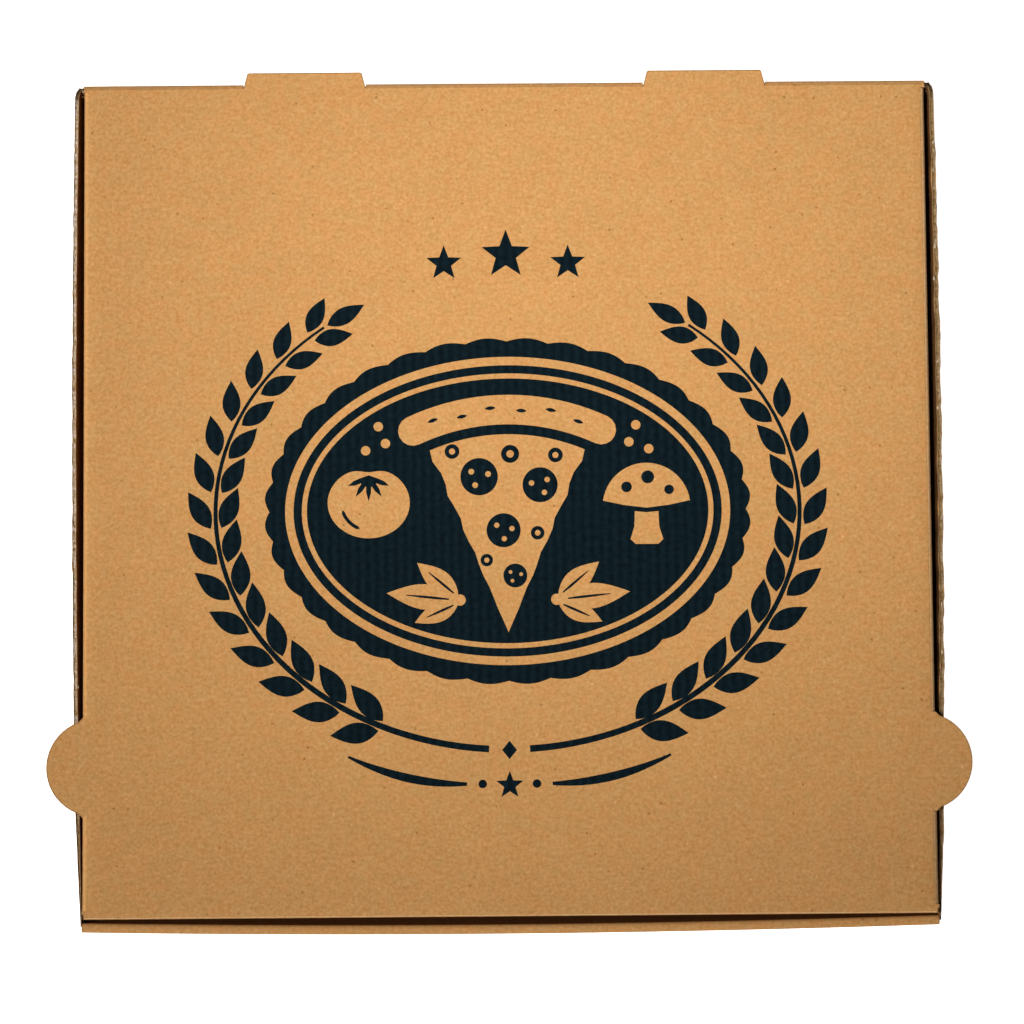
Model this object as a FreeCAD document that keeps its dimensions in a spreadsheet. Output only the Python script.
import FreeCAD, Part
import Sketcher
import math
import os
import re

# A 30 cm pizza box: one die-cut sheet of E-flute corrugated board, folded up and closed.
# Millimetres. +Z is up, the front of the box faces -Y, the hinge crease of the lid is at +Y.
# The origin is the middle of the underside of the base.
# The sheet folds into two rigid pieces: the tray, and the lid that swings on the rear crease.

SIZES = (
    ("board", 1.5, "thickness of the corrugated board"),
    ("fold_inside", 0.4, "inside radius of a right-angled fold"),
    ("layer_gap", 0.2, "clearance between two layers that lie against each other"),
    ("tray_width", 303.1, "across the outside of the side walls, at the corners"),
    ("tray_depth", 299.5, "outside of the front wall to outside of the rear wall"),
    ("side_height", 38.2, "floor to the cut top edge of a side wall"),
    ("side_bow", 2.3, "how far a side wall's top edge leans out in its middle"),
    ("rear_lean", 1.7, "how far a side wall's top edge leans out at its rear end"),
    ("end_gap", 1.55, "how far the front and rear walls stop short of the side walls' outside"),
    ("front_height", 38.9, "floor to the top of the roll-over front wall"),
    ("front_bow", 1.6, "how far the top of the front wall bows out in its middle"),
    ("front_skew", 0.4, "how far the right end of the front wall's top leans in"),
    ("roll_gap", 0.36, "space between the two layers of the front wall, at the top"),
    ("foot_gap", 4.0, "space between the two layers of the front wall, at the base"),
    ("lock_width", 38.0, "width of a locking tab of the front wall"),
    ("lock_place", 78.0, "middle of a locking tab from the centre line"),
    ("lock_slot_gap", 0.4, "clearance round a locking tab in its slot"),
    ("lock_lift", 0.3, "how far a locking tab's tip stays above the floor"),
    ("front_corner_length", 36.0, "front corner flap, from the side wall's outside to its tip"),
    ("rear_corner_length", 52.0, "rear corner flap, from the side wall's outside to its tip"),
    ("corner_drop", 3.0, "how far a rear corner flap's top stays below the side wall's top"),
    ("lug_gap", 0.3, "clearance round a side wall's top corners"),
    ("corner_taper", 7.0, "how far the ends of the corner flaps slant"),
    ("lid_side_gap", 0.3, "space between the lid's side flap and the side wall, at the corners"),
    ("lid_front_gap", 1.1, "space between the lid's front crease and the front wall, at the corners"),
    ("lid_rest_gap", 0.3, "space between an ear of the lid and the side wall's top edge"),
    ("hinge_gap", 0.1, "space between the lid's panel and the bead of the rear crease"),
    ("rear_tab_place", 71.2, "middle of a rear tab from the centre line"),
    ("rear_tab_width", 43.6, "width of a rear tab at the crease"),
    ("rear_tab_slant", 1.3, "how far each side of a rear tab slants inwards"),
    ("rear_tab_reach", 4.2, "how far a rear tab stands out behind the rear wall"),
    ("rear_tab_round", 0.8, "corner radius of a rear tab"),
    ("notch_gap", 0.5, "clearance round a rear tab in the notch of the rear wall"),
    ("ear_place", 53.0, "middle of an ear behind the lid's front crease"),
    ("ear_radius", 17.0, "radius of an ear's half-round outline"),
    ("ear_reach", 12.6, "how far an ear stands out past the lid's side crease"),
    ("ear_flare", 1.3, "size of the slanted flare at an ear's root"),
    ("side_flap_depth", 30.0, "lid's top face to the free edge of its side flap"),
    ("side_flap_front", 3.2, "front end of a side flap behind the lid's front crease"),
    ("side_flap_rear", 2.45, "rear end of a side flap in front of the rear wall's outside"),
    ("side_flap_slant", 9.0, "how far the ends of a side flap slant"),
    ("flap_round", 5.0, "size of the rounded corners at the free edge of the lid's flaps"),
    ("side_flap_radius", 6.5, "radius of the side flap's rounded corners"),
    ("front_flap_depth", 32.0, "length of the lid's front tuck flap below the lid's top face"),
    ("front_flap_inset", 0.4, "front tuck flap's end from the lid's side, at the crease"),
    ("front_flap_slant", 5.0, "how far the ends of the front tuck flap slant"),
    ("front_flap_radius", 5.75, "radius of the front tuck flap's rounded corners"),
    ("front_flap_lean", 6.0, "degrees by which the front tuck flap leans inwards"),
)
NAMES = {name for name, value, meaning in SIZES}

# Places worked out from the sizes, as formulas of the sheet's cells.
FOLD = "(fold_inside + board)"
HALF_WIDTH = "(tray_width / 2)"
HALF_DEPTH = "(tray_depth / 2)"
WALL_END = f"({HALF_DEPTH} - board - layer_gap - {FOLD})"
END_WALL_HALF = f"({HALF_WIDTH} - end_gap)"
FLAP_FACE = f"({HALF_DEPTH} - board - layer_gap)"
FLAP_FOOT = f"({FOLD} + layer_gap)"

LID_LOW = "(side_height + lid_rest_gap)"
LID_TOP = f"({LID_LOW} + board)"
HINGE_Y = f"({HALF_DEPTH} - board / 2)"
HINGE_Z = f"({LID_LOW} + board / 2)"
LID_HALF = f"({HALF_WIDTH} - board - lid_side_gap)"
LID_FRONT = f"({HALF_DEPTH} - 2 * board - roll_gap - lid_front_gap)"
LID_BACK = f"({HINGE_Y} - board / 2 - hinge_gap)"

ROLL = "(board + roll_gap / 2)"
ROLL_Z = f"(front_height - {ROLL})"
FOOT_Z = "(board + layer_gap)"
INNER_HALF = f"({HALF_WIDTH} - board - lid_side_gap / 2)"
REAR_CORNER_TOP = "(side_height - corner_drop)"
WEDGE = "((board + 4 * layer_gap - roll_gap) / (foot_gap - roll_gap))"
FRONT_CORNER_TOP = f"({ROLL_Z} - {WEDGE} * ({ROLL_Z} - {FOOT_Z}) - board)"


def bound(formula):
    """A formula of plain size names, as one that reads the sheet's cells."""
    def cell(word):
        return "sizes." + word.group() if word.group() in NAMES else word.group()
    return re.sub(r"[a-z_]+", cell, str(formula))


def write_sheet(document):
    """The driving dimensions, one row each."""
    sheet = document.addObject("Spreadsheet::Sheet", "sizes")
    for row, (name, value, meaning) in enumerate(SIZES, start=1):
        sheet.set(f"A{row}", name)
        sheet.set(f"B{row}", str(value))
        sheet.setAlias(f"B{row}", name)
        sheet.set(f"C{row}", meaning)
    document.recompute()
    return sheet


def new_body(document, label):
    """A body named after its piece."""
    body = document.addObject("PartDesign::Body", label)
    body.Label = label
    return body


def sketch_on(body, plane, name, offset="0"):
    """An empty sketch on one of the body's own planes, moved along the plane's normal."""
    sketch = body.newObject("Sketcher::SketchObject", name)
    carrier = next(item for item in body.Origin.OriginFeatures if item.Role == plane)
    sketch.AttachmentSupport = (carrier, [""])
    sketch.MapMode = "FlatFace"
    if offset != "0":
        sketch.setExpression("AttachmentOffset.Base.z", bound(offset))
    return sketch


def arc_between(start, end, radius):
    """The arc from start to end; it runs anticlockwise where the radius is positive."""
    first, last = (start, end) if radius > 0 else (end, start)
    chord = last - first
    middle = (first + last) / 2
    left = FreeCAD.Vector(-chord.y, chord.x, 0).normalize()
    rise = math.sqrt(max(radius ** 2 - chord.Length ** 2 / 4, 0))
    centre = middle + left * rise
    from_angle = math.atan2(first.y - centre.y, first.x - centre.x)
    to_angle = math.atan2(last.y - centre.y, last.x - centre.x)
    circle = Part.Circle(centre, FreeCAD.Vector(0, 0, 1), abs(radius))
    return Part.ArcOfCircle(circle, from_angle, to_angle)


def outline(sketch, corners):
    """A closed outline through corners given as formulas.

    A corner is (x, y), or (x, y, radius) where an arc leads from it to the next corner:
    anticlockwise for a positive radius and clockwise for one that starts with a minus.
    """
    sheet = sketch.Document.getObject("sizes")

    def number(formula):
        return float(sheet.evalExpression(bound(formula)))

    points = [FreeCAD.Vector(number(corner[0]), number(corner[1]), 0) for corner in corners]
    ends = []
    for index, corner in enumerate(corners):
        start = points[index]
        end = points[(index + 1) % len(points)]
        if len(corner) == 2:
            edge = sketch.addGeometry(Part.LineSegment(start, end), False)
            ends.append((edge, 1, 2))
            continue
        radius = number(corner[2])
        edge = sketch.addGeometry(arc_between(start, end, radius), False)
        ends.append((edge, 1, 2) if radius > 0 else (edge, 2, 1))
        size = corner[2] if radius > 0 else f"-({corner[2]})"
        mark = sketch.addConstraint(Sketcher.Constraint("Radius", edge, abs(radius)))
        sketch.setExpression(f"Constraints[{mark}]", bound(size))
    for index, corner in enumerate(corners):
        edge, first, last = ends[index]
        before, before_first, before_last = ends[index - 1]
        sketch.addConstraint(Sketcher.Constraint("Coincident", before, before_last, edge, first))
        for axis, other_axis, formula, value in (
            ("DistanceX", -2, corner[0], points[index].x),
            ("DistanceY", -1, corner[1], points[index].y),
        ):
            if formula == "0":
                sketch.addConstraint(Sketcher.Constraint("PointOnObject", edge, first, other_axis))
                continue
            mark = sketch.addConstraint(Sketcher.Constraint(axis, -1, 1, edge, first, value))
            sketch.setExpression(f"Constraints[{mark}]", bound(formula))


def pad(body, name, sketch, length, symmetric=False, backwards=False):
    """Board laid on a sketch: along its normal, against it, or half to each side."""
    feature = body.newObject("PartDesign::Pad", name)
    feature.Profile = sketch
    feature.setExpression("Length", bound(length))
    feature.SideType = "Symmetric" if symmetric else "One side"
    feature.Reversed = backwards
    sketch.Visibility = False
    return feature


def pocket(body, name, sketch, length, along=False):
    """A cut from a sketch: against its normal, or along it."""
    feature = body.newObject("PartDesign::Pocket", name)
    feature.Profile = sketch
    feature.setExpression("Length", bound(length))
    feature.Reversed = along
    sketch.Visibility = False
    return feature


def loft(body, name, sketches):
    """Board that runs smoothly through its sections."""
    feature = body.newObject("PartDesign::AdditiveLoft", name)
    feature.Profile = sketches[0]
    feature.Sections = sketches[1:]
    feature.Ruled = False
    for sketch in sketches:
        sketch.Visibility = False
    return feature


def mirror(body, name, features):
    """The same features on the other side of the centre line."""
    feature = body.newObject("PartDesign::Mirrored", name)
    carrier = next(item for item in body.Origin.OriginFeatures if item.Role == "YZ_Plane")
    feature.MirrorPlane = (carrier, [""])
    feature.Originals = features
    body.Tip = feature
    return feature


def front_section(body, name, place, bow):
    """The front of the sheet in side view: base, fold, outer layer, roll and inner layer."""
    sketch = sketch_on(body, "YZ_Plane", name, place)
    face = f"-{HALF_DEPTH}"
    roll_centre = f"{face} + {ROLL} - {bow}"
    foot = f"{face} + board + foot_gap"
    outline(sketch, (
        (f"-{WALL_END}", "0"),
        (f"{face} + {FOLD}", "0", f"-{FOLD}"),
        (face, FOLD),
        (f"{roll_centre} - {ROLL}", ROLL_Z, f"-{ROLL}"),
        (roll_centre, "front_height", f"-{ROLL}"),
        (f"{roll_centre} + {ROLL}", ROLL_Z),
        (f"{foot} + board", FOOT_Z),
        (foot, FOOT_Z),
        (f"{roll_centre} + roll_gap / 2", ROLL_Z, "roll_gap / 2"),
        (roll_centre, f"{ROLL_Z} + roll_gap / 2", "roll_gap / 2"),
        (f"{roll_centre} - roll_gap / 2", ROLL_Z),
        (f"{face} + board", FOLD, "fold_inside"),
        (f"{face} + {FOLD}", "board"),
        (f"-{WALL_END}", "board"),
    ))
    return sketch


def leant(lean, height):
    """How far a side wall that leans out by lean at its top stands out at a height."""
    return f"({lean} * ({height} - {FOLD}) / (side_height - {FOLD}))"


def side_section(body, name, place, lean):
    """The right side wall in front view, with the fold that joins it to the base."""
    sketch = sketch_on(body, "XZ_Plane", name, place)
    outer = HALF_WIDTH
    inner = f"({HALF_WIDTH} - board)"
    flat = f"({HALF_WIDTH} - {FOLD})"
    outline(sketch, (
        (flat, "0", FOLD),
        (outer, FOLD),
        (f"{outer} + {lean}", "side_height"),
        (f"{inner} + {lean}", "side_height"),
        (inner, FOLD, "-fold_inside"),
        (flat, "board"),
    ))
    return sketch


def front_wall(body):
    """The roll-over front wall, two layers that bow out a little; the inner one is narrower."""
    place = END_WALL_HALF
    sections = [
        front_section(body, "front_left_section", f"-{place}", "0"),
        front_section(body, "front_middle_section", "0", "front_bow"),
        front_section(body, "front_right_section", place, "-front_skew"),
    ]
    loft(body, "front_roll", sections)
    trim = sketch_on(body, "YZ_Plane", "inner_layer_trim", INNER_HALF)
    split = f"-{HALF_DEPTH} + board + roll_gap / 2"
    beyond = f"-{HALF_DEPTH} + 3 * board + foot_gap"
    outline(trim, (
        (split, f"{FOLD} + layer_gap"),
        (f"-{HALF_DEPTH} + board + foot_gap - layer_gap", "board + layer_gap / 2"),
        (beyond, "board + layer_gap / 2"),
        (beyond, ROLL_Z),
        (split, ROLL_Z),
    ))
    cut = pocket(body, "inner_layer_end", trim, f"{HALF_WIDTH} - {INNER_HALF}", along=True)
    mirror(body, "inner_layer_ends", [cut])


def base_panel(body):
    """The flat base between the folds."""
    sketch = sketch_on(body, "XY_Plane", "base_outline")
    flat = f"({HALF_WIDTH} - {FOLD})"
    outline(sketch, (
        (f"-{flat}", f"-{WALL_END}"),
        (flat, f"-{WALL_END}"),
        (flat, WALL_END),
        (f"-{flat}", WALL_END),
    ))
    pad(body, "base", sketch, "board")


def wall_lug(body, name, rear, lean, low):
    """The top corner of a side wall, which runs on over its corner flap."""
    place = f"-{WALL_END}" if rear else WALL_END
    reach = f"({HALF_DEPTH} - lug_gap - {WALL_END})" if rear else f"({FLAP_FACE} - lug_gap - {WALL_END})"
    outer_low = f"({HALF_WIDTH} + {leant(lean, low)})"
    outer_top = f"({HALF_WIDTH} + {lean})"
    sketch = sketch_on(body, "XZ_Plane", f"{name}_section", place)
    outline(sketch, (
        (f"{outer_low} - board", low),
        (outer_low, low),
        (outer_top, "side_height"),
        (f"{outer_top} - board", "side_height"),
    ))
    return pad(body, name, sketch, reach, backwards=rear)


def side_walls(body):
    """The two single side walls, whose cut top edges bow outwards."""
    sections = [
        side_section(body, "side_front_section", WALL_END, "0"),
        side_section(body, "side_middle_section", "0", "side_bow"),
        side_section(body, "side_rear_section", f"-{WALL_END}", "rear_lean"),
    ]
    wall = loft(body, "side_wall", sections)
    rear_lug = wall_lug(body, "rear_lug", True, "rear_lean", f"({REAR_CORNER_TOP} + lug_gap)")
    front_lug = wall_lug(body, "front_lug", False, "0", f"({FRONT_CORNER_TOP} + lug_gap)")
    mirror(body, "side_walls", [wall, rear_lug, front_lug])


def rear_wall(body):
    """The rear wall, whose top is the bead of the hinge crease, with a notch for each tab."""
    sketch = sketch_on(body, "YZ_Plane", "rear_section")
    outer = HALF_DEPTH
    outline(sketch, (
        (WALL_END, "0"),
        (f"{outer} - {FOLD}", "0", FOLD),
        (outer, FOLD),
        (outer, HINGE_Z, "board / 2"),
        (HINGE_Y, f"{HINGE_Z} + board / 2", "board / 2"),
        (f"{outer} - board", HINGE_Z),
        (f"{outer} - board", FOLD, "-fold_inside"),
        (f"{outer} - {FOLD}", "board"),
        (WALL_END, "board"),
    ))
    pad(body, "rear_panel", sketch, f"2 * {END_WALL_HALF}", symmetric=True)
    half = "(rear_tab_width / 2 + notch_gap)"
    low = f"{HINGE_Z} - board / 2 - rear_tab_reach - notch_gap"
    high = f"{HINGE_Z} + board"
    notch = sketch_on(body, "XZ_Plane", "notch_outline", f"-{HALF_DEPTH} - board")
    outline(notch, (
        (f"rear_tab_place - {half} + rear_tab_slant", low),
        (f"rear_tab_place + {half} - rear_tab_slant", low),
        (f"rear_tab_place + {half}", HINGE_Z),
        (f"rear_tab_place + {half}", high),
        (f"rear_tab_place - {half}", high),
        (f"rear_tab_place - {half}", HINGE_Z),
    ))
    cut = pocket(body, "notch", notch, "3 * board", along=True)
    mirror(body, "notches", [cut])


def corner_flap(body, name, rear, lean, height, length):
    """A flap that ends a side wall, turned inwards along the front or rear wall."""
    side = "" if rear else "-"
    out = HALF_WIDTH
    centre = f"({HALF_WIDTH} - {FOLD})"
    end = f"{side}{WALL_END}"
    face = f"{side}{FLAP_FACE}"
    inner_face = f"{side}({FLAP_FACE} - board)"
    turn = "" if rear else "-"
    back = "-" if rear else ""
    ends = []
    for stage, level in (("low", FLAP_FOOT), ("high", height)):
        shift = leant(lean, level)
        fold = sketch_on(body, "XY_Plane", f"{name}_fold_{stage}", level)
        outline(fold, (
            (f"{out} - board + {shift}", end),
            (f"{out} + {shift}", end, f"{turn}{FOLD}"),
            (f"{centre} + {shift}", face),
            (f"{centre} + {shift}", inner_face, f"{back}fold_inside"),
        ))
        ends.append(fold)
    bend = loft(body, f"{name}_fold", ends)
    place = f"-{FLAP_FACE} + board" if rear else FLAP_FACE
    flap = sketch_on(body, "XZ_Plane", f"{name}_outline", place)
    tip = f"({HALF_WIDTH} - {length})"
    outline(flap, (
        (f"{centre} + {leant(lean, FLAP_FOOT)}", FLAP_FOOT),
        (f"{centre} + {leant(lean, height)}", height),
        (f"{tip} + corner_taper", height),
        (tip, f"{height} - corner_taper"),
        (tip, f"{FLAP_FOOT} + corner_taper / 2"),
        (f"{tip} + corner_taper / 2", FLAP_FOOT),
    ))
    blade = pad(body, name, flap, "board", backwards=True)
    return [bend, blade]


def corner_flaps(body):
    """The four corner flaps. The front ones are caught between the front wall's layers."""
    rear = corner_flap(body, "rear_corner", True, "rear_lean", REAR_CORNER_TOP, "rear_corner_length")
    front = corner_flap(body, "front_corner", False, "0", FRONT_CORNER_TOP, "front_corner_length")
    mirror(body, "corner_flaps", rear + front)


def locking_tabs(body):
    """The tabs that hold the inner front layer down, each in a slot of the base."""
    foot = f"(-{HALF_DEPTH} + board + foot_gap)"
    slot = sketch_on(body, "XY_Plane", "slot_outline")
    half_slot = "(lock_width / 2 + lock_slot_gap)"
    outline(slot, (
        (f"lock_place - {half_slot}", f"{foot} - lock_slot_gap"),
        (f"lock_place + {half_slot}", f"{foot} - lock_slot_gap"),
        (f"lock_place + {half_slot}", f"{foot} + board + lock_slot_gap"),
        (f"lock_place - {half_slot}", f"{foot} + board + lock_slot_gap"),
    ))
    cut = pocket(body, "slot", slot, "board", along=True)
    tab = sketch_on(body, "XZ_Plane", "lock_outline", f"-{foot}")
    outline(tab, (
        ("lock_place - lock_width / 2", FOOT_Z),
        ("lock_place - lock_width / 2", f"lock_lift + board / 3", "board / 3"),
        ("lock_place - lock_width / 2 + board / 3", "lock_lift"),
        ("lock_place + lock_width / 2 - board / 3", "lock_lift", "board / 3"),
        ("lock_place + lock_width / 2", f"lock_lift + board / 3"),
        ("lock_place + lock_width / 2", FOOT_Z),
    ))
    lock = pad(body, "lock", tab, "board", backwards=True)
    mirror(body, "locks", [cut, lock])


def make_tray(document):
    """Base, side walls, rear wall, roll-over front wall and corner flaps, all one sheet."""
    body = new_body(document, "tray")
    front_wall(body)
    base_panel(body)
    side_walls(body)
    rear_wall(body)
    corner_flaps(body)
    locking_tabs(body)
    return body


def ear_arc_half():
    """Half the width of an ear's arc where it meets the flares at the side crease."""
    inside = "(ear_radius - ear_reach + ear_flare)"
    return f"sqrt(ear_radius ^ 2 - {inside} ^ 2)"


def lid_panel(body):
    """The right half of the lid's panel, with its ear and its rear tab, then the left half."""
    sketch = sketch_on(body, "XY_Plane", "lid_outline", LID_LOW)
    crease = f"({LID_HALF} - {FOLD})"
    ear_y = f"(-{LID_FRONT} + ear_place)"
    arc = ear_arc_half()
    root = f"({arc} + ear_flare)"
    rear_end = f"({HALF_DEPTH} - side_flap_rear)"
    front_end = f"(-{LID_FRONT} + side_flap_front)"
    tab_tip = f"({HALF_DEPTH} + rear_tab_reach)"
    tab_half = "(rear_tab_width / 2)"
    tip_half = "(rear_tab_width / 2 - rear_tab_slant)"
    outline(sketch, (
        ("0", f"-{LID_FRONT} + {FOLD}"),
        (LID_HALF, f"-{LID_FRONT} + {FOLD}"),
        (LID_HALF, front_end),
        (crease, front_end),
        (crease, f"{ear_y} - {root}"),
        (LID_HALF, f"{ear_y} - {root}"),
        (f"{LID_HALF} + ear_flare", f"{ear_y} - {arc}", "ear_radius"),
        (f"{LID_HALF} + ear_reach", ear_y, "ear_radius"),
        (f"{LID_HALF} + ear_flare", f"{ear_y} + {arc}"),
        (LID_HALF, f"{ear_y} + {root}"),
        (crease, f"{ear_y} + {root}"),
        (crease, rear_end),
        (LID_HALF, rear_end),
        (LID_HALF, LID_BACK),
        (f"rear_tab_place + {tab_half}", LID_BACK),
        (f"rear_tab_place + {tip_half}", f"{tab_tip} - rear_tab_round", "rear_tab_round"),
        (f"rear_tab_place + {tip_half} - rear_tab_round", tab_tip),
        (f"rear_tab_place - {tip_half} + rear_tab_round", tab_tip, "rear_tab_round"),
        (f"rear_tab_place - {tip_half}", f"{tab_tip} - rear_tab_round"),
        (f"rear_tab_place - {tab_half}", LID_BACK),
        ("0", LID_BACK),
    ))
    return pad(body, "lid_half", sketch, "board")


def lid_side_fold(body, name, start, end):
    """One stretch of the fold along the lid's side, between two places front to rear."""
    sketch = sketch_on(body, "XZ_Plane", f"{name}_section", f"-({start})")
    crease = f"({LID_HALF} - {FOLD})"
    outline(sketch, (
        (crease, LID_LOW),
        (f"{LID_HALF} - board", f"{LID_TOP} - {FOLD}"),
        (LID_HALF, f"{LID_TOP} - {FOLD}", FOLD),
        (crease, LID_TOP),
    ))
    return pad(body, name, sketch, f"({end}) - ({start})", backwards=True)


def lid_side_flap(body):
    """The lid's right side flap, with the half-round opening that the ear was cut from."""
    low = f"({LID_TOP} - side_flap_depth)"
    high = f"({LID_TOP} - {FOLD})"
    ear_y = f"(-{LID_FRONT} + ear_place)"
    arc = ear_arc_half()
    root = f"({arc} + ear_flare)"
    rear_end = f"({HALF_DEPTH} - side_flap_rear)"
    front_end = f"(-{LID_FRONT} + side_flap_front)"
    sketch = sketch_on(body, "YZ_Plane", "side_flap_outline", f"{LID_HALF} - board")
    slanted = "(side_flap_slant + flap_round)"
    outline(sketch, (
        (front_end, high),
        (f"{front_end} + side_flap_slant", f"{low} + flap_round", "side_flap_radius"),
        (f"{front_end} + {slanted}", low),
        (f"{rear_end} - {slanted}", low, "side_flap_radius"),
        (f"{rear_end} - side_flap_slant", f"{low} + flap_round"),
        (rear_end, high),
        (f"{ear_y} + {root}", high),
        (f"{ear_y} + {arc}", f"{LID_TOP} - {FOLD} - ear_flare", "-ear_radius"),
        (ear_y, f"{LID_TOP} - {FOLD} - ear_reach", "-ear_radius"),
        (f"{ear_y} - {arc}", f"{LID_TOP} - {FOLD} - ear_flare"),
        (f"{ear_y} - {root}", high),
    ))
    flap = pad(body, "side_flap", sketch, "board")
    front_fold = lid_side_fold(body, "side_fold_front", front_end, f"{ear_y} - {root}")
    rear_fold = lid_side_fold(body, "side_fold_rear", f"{ear_y} + {root}", rear_end)
    return [flap, front_fold, rear_fold]


def lid_front_flap(body):
    """The tuck flap at the lid's front; it leans inwards, with slanted and rounded ends."""
    sketch = sketch_on(body, "YZ_Plane", "front_flap_section")
    centre_y = f"(-{LID_FRONT} + {FOLD})"
    centre_z = f"({LID_TOP} - {FOLD})"
    lean = "front_flap_lean"
    drop = f"(front_flap_depth - {FOLD})"
    outer_y = f"({centre_y} - {FOLD} * cos({lean}))"
    outer_z = f"({centre_z} - {FOLD} * sin({lean}))"
    inner_y = f"({centre_y} - fold_inside * cos({lean}))"
    inner_z = f"({centre_z} - fold_inside * sin({lean}))"
    outline(sketch, (
        (centre_y, LID_LOW),
        (centre_y, LID_TOP, FOLD),
        (outer_y, outer_z),
        (f"{outer_y} + {drop} * sin({lean})", f"{outer_z} - {drop} * cos({lean})"),
        (f"{inner_y} + {drop} * sin({lean})", f"{inner_z} - {drop} * cos({lean})"),
        (inner_y, inner_z, "-fold_inside"),
    ))
    half = f"({LID_HALF} - front_flap_inset)"
    pad(body, "front_flap", sketch, f"2 * {half}", symmetric=True)
    trim = sketch_on(body, "XZ_Plane", "front_flap_trim", f"{LID_FRONT} + board")
    low = f"({LID_TOP} - front_flap_depth - board)"
    foot = f"({LID_TOP} - front_flap_depth + flap_round)"
    outline(trim, (
        (f"{half} - front_flap_slant - flap_round", low),
        (f"{half} + board", low),
        (f"{half} + board", f"{LID_TOP} - 2 * {FOLD}"),
        (half, f"{LID_TOP} - 2 * {FOLD}"),
        (f"{half} - front_flap_slant", foot, "-front_flap_radius"),
        (f"{half} - front_flap_slant - flap_round", f"{foot} - flap_round + board / 10"),
    ))
    reach = f"{drop} * sin({lean}) + {FOLD} + 3 * board"
    cut = pocket(body, "front_flap_end", trim, reach)
    mirror(body, "front_flap_ends", [cut])


def make_lid(document):
    """The lid: panel, ears, rear tabs, side flaps and front tuck flap."""
    body = new_body(document, "lid")
    half = lid_panel(body)
    mirror(body, "lid_panel", [half])
    lid_front_flap(body)
    side = lid_side_flap(body)
    mirror(body, "side_flaps", side)
    return body


def check_document(document, bodies):
    """Stop where a feature failed or a piece isn't one whole solid."""
    for item in document.Objects:
        bad = [state for state in item.State if state in ("Invalid", "Error")]
        if bad:
            raise RuntimeError(f"{item.Name} is {bad}")
    for body in bodies:
        if body.Shape.isNull() or not body.Shape.isValid():
            raise RuntimeError(f"{body.Label} has no valid shape")
        if len(body.Shape.Solids) != 1:
            raise RuntimeError(f"{body.Label} has {len(body.Shape.Solids)} solids")
        print(body.Label, round(body.Shape.Volume, 1), body.Shape.BoundBox)


def main():
    document = FreeCAD.newDocument("pizza_box")
    write_sheet(document)
    bodies = [make_tray(document), make_lid(document)]
    document.recompute()
    check_document(document, bodies)
    os.makedirs("parts", exist_ok=True)
    for body in bodies:
        body.Shape.exportStep(os.path.join("parts", f"{body.Label}.step"))


main()
